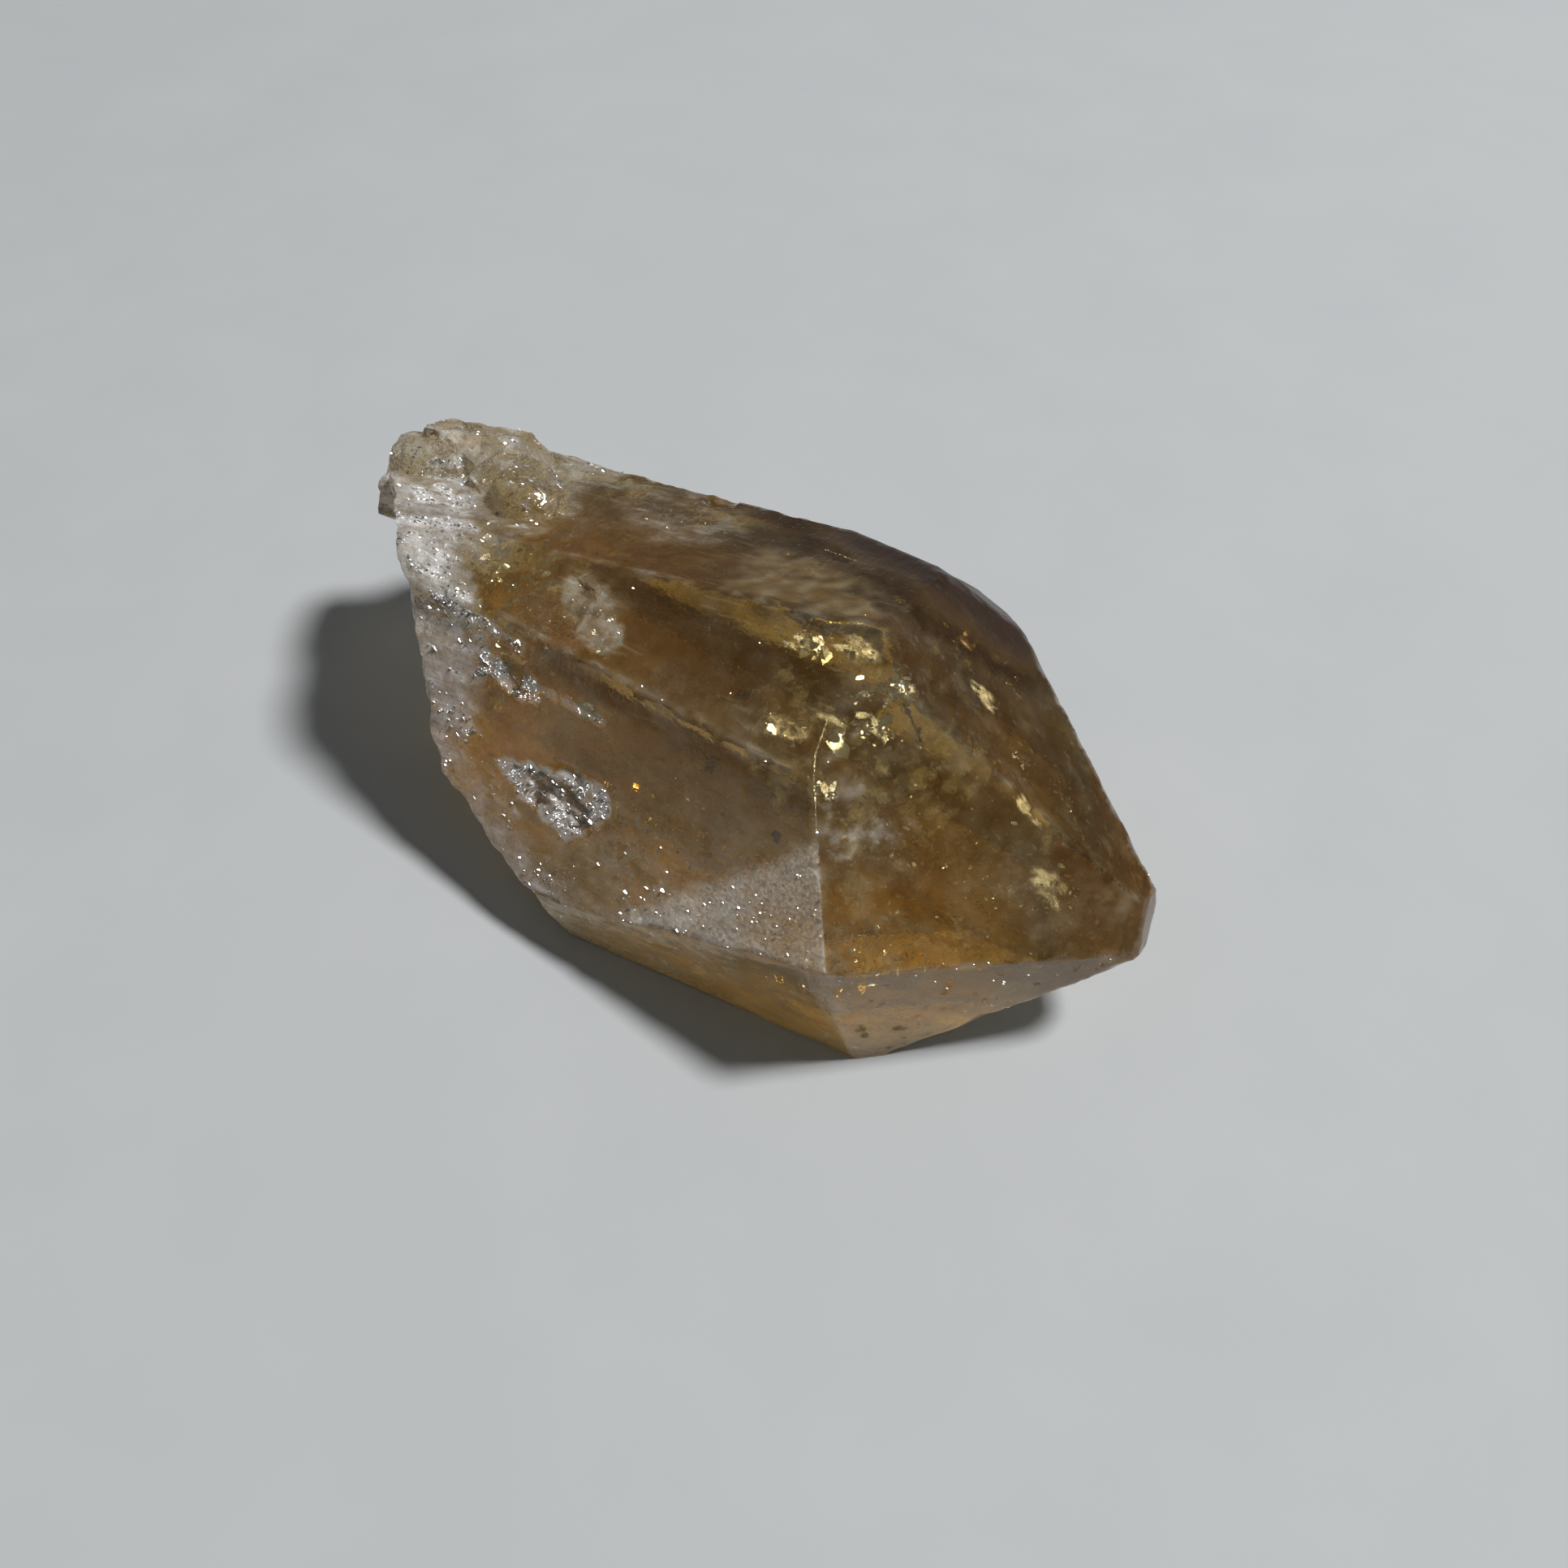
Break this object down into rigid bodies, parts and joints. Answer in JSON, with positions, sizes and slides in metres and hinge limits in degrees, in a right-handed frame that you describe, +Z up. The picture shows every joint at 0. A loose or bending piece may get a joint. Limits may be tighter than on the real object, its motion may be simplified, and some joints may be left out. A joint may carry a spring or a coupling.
{
  "type": "citrine crystal point",
  "caption": "Single natural citrine quartz point lying on its flattened side, with a faceted termination and a rough broken base; a loose display mineral.",
  "frame": {"origin": "on the resting plane, under the centre of the crystal's outline", "axes": "+X along the crystal's length, broken base to point, +Z up from the resting plane, +Y to the back"},
  "size_m": [0.0644, 0.0304, 0.0251],
  "materials": {
    "citrine": "natural crystal faces, glassy, with frosted and broken patches"
  },
  "bodies": {
    "root": {"citrine_point": "citrine"}
  },
  "joints": []
}
